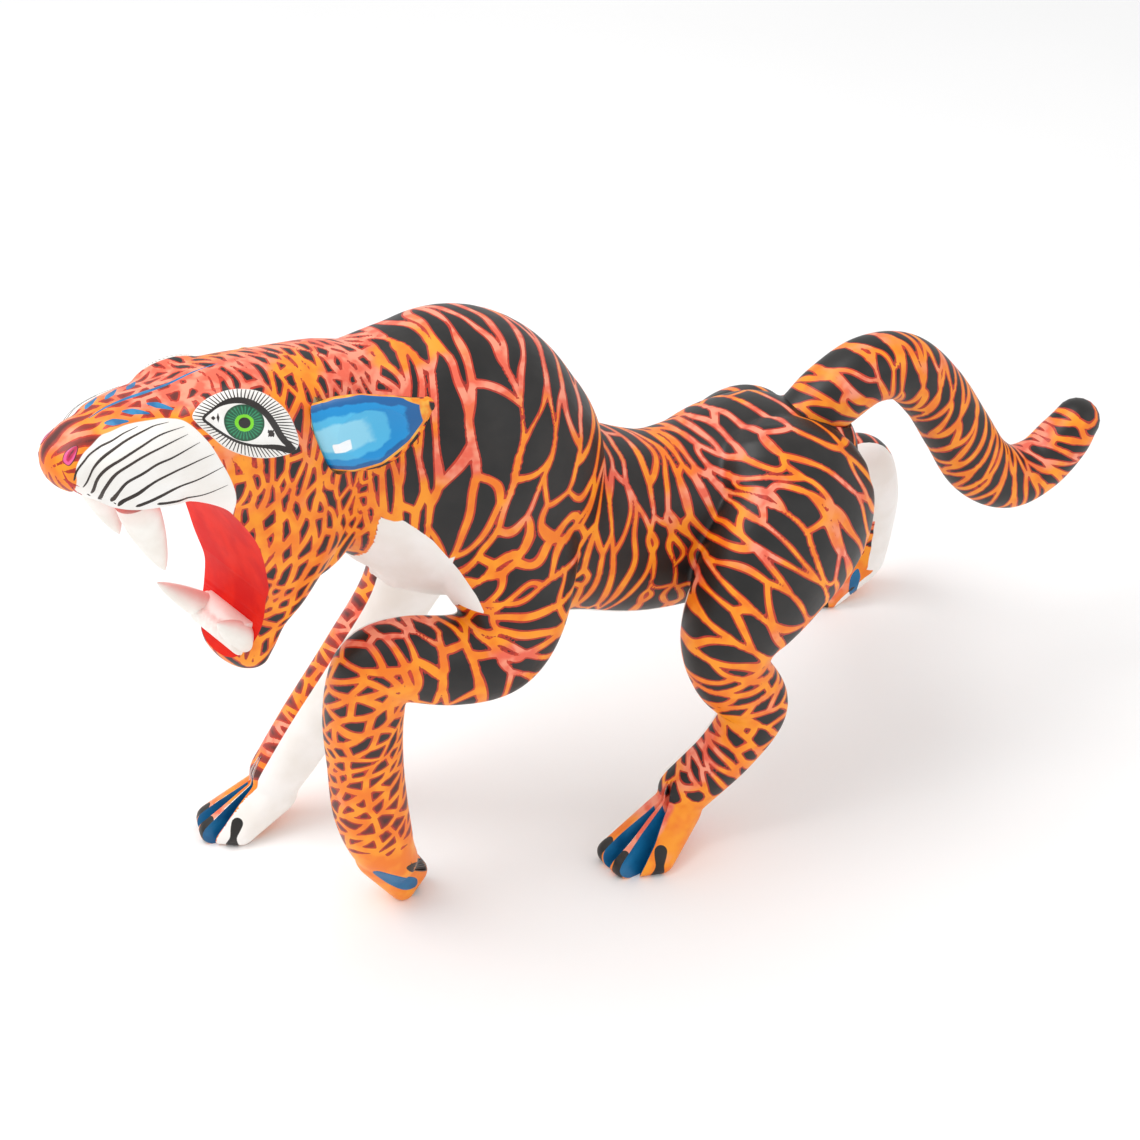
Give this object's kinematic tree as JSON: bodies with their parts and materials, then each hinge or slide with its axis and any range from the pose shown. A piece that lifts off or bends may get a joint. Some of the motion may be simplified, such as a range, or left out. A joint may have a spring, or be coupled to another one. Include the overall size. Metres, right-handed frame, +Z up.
{
  "type": "carved wooden tiger figure",
  "caption": "Prowling tiger carved from wood with a gaping mouth, fangs, splayed walking legs, a plug-in wavy tail and plug-in ears, painted in bold stripes.",
  "frame": {"origin": "middle of the figure's outline, on the surface that the four paws stand on", "axes": "+Z up, the nose points to -X and the tail to +X, the tiger's left side is -Y"},
  "size_m": [0.5697, 0.1898, 0.3019],
  "materials": {
    "painted_wood_striped": "satin acrylic paint, black stripes on orange",
    "painted_wood_orange": "satin acrylic paint, orange with dark spots",
    "painted_wood_red": "satin red acrylic paint inside, stripes outside",
    "painted_wood_white": "satin white acrylic paint",
    "bare_wood": "bare glued wood"
  },
  "bodies": {
    "figure": {"torso": "painted_wood_striped", "head": "painted_wood_striped", "lower_jaw": "painted_wood_red", "upper_fang_left": "painted_wood_white", "upper_fang_right": "painted_wood_white", "lower_fang_left": "painted_wood_white", "lower_fang_right": "painted_wood_white", "lower_tooth_row": "painted_wood_white", "front_leg_left": "painted_wood_orange", "front_leg_right": "painted_wood_orange", "hind_leg_left": "painted_wood_orange", "hind_leg_right": "painted_wood_orange", "neck_dowel": "bare_wood", "shoulder_dowels": "bare_wood", "hip_dowels": "bare_wood", "jaw_pins": "bare_wood"},
    "tail": {"tail": "painted_wood_striped"},
    "ear_left": {"ear_left": "painted_wood_striped"},
    "ear_right": {"ear_right": "painted_wood_striped"}
  },
  "joints": [
    {"name": "tail_pull", "type": "slide", "parent": "figure", "child": "tail", "axis": [0.8, 0, 0.6], "range_m": [0, 0.06]},
    {"name": "ear_left_pull", "type": "slide", "parent": "figure", "child": "ear_left", "axis": [0.7354, -0.6392, 0.225], "range_m": [0, 0.03]},
    {"name": "ear_right_pull", "type": "slide", "parent": "figure", "child": "ear_right", "axis": [0.3216, 0.9339, -0.1564], "range_m": [0, 0.03]}
  ]
}
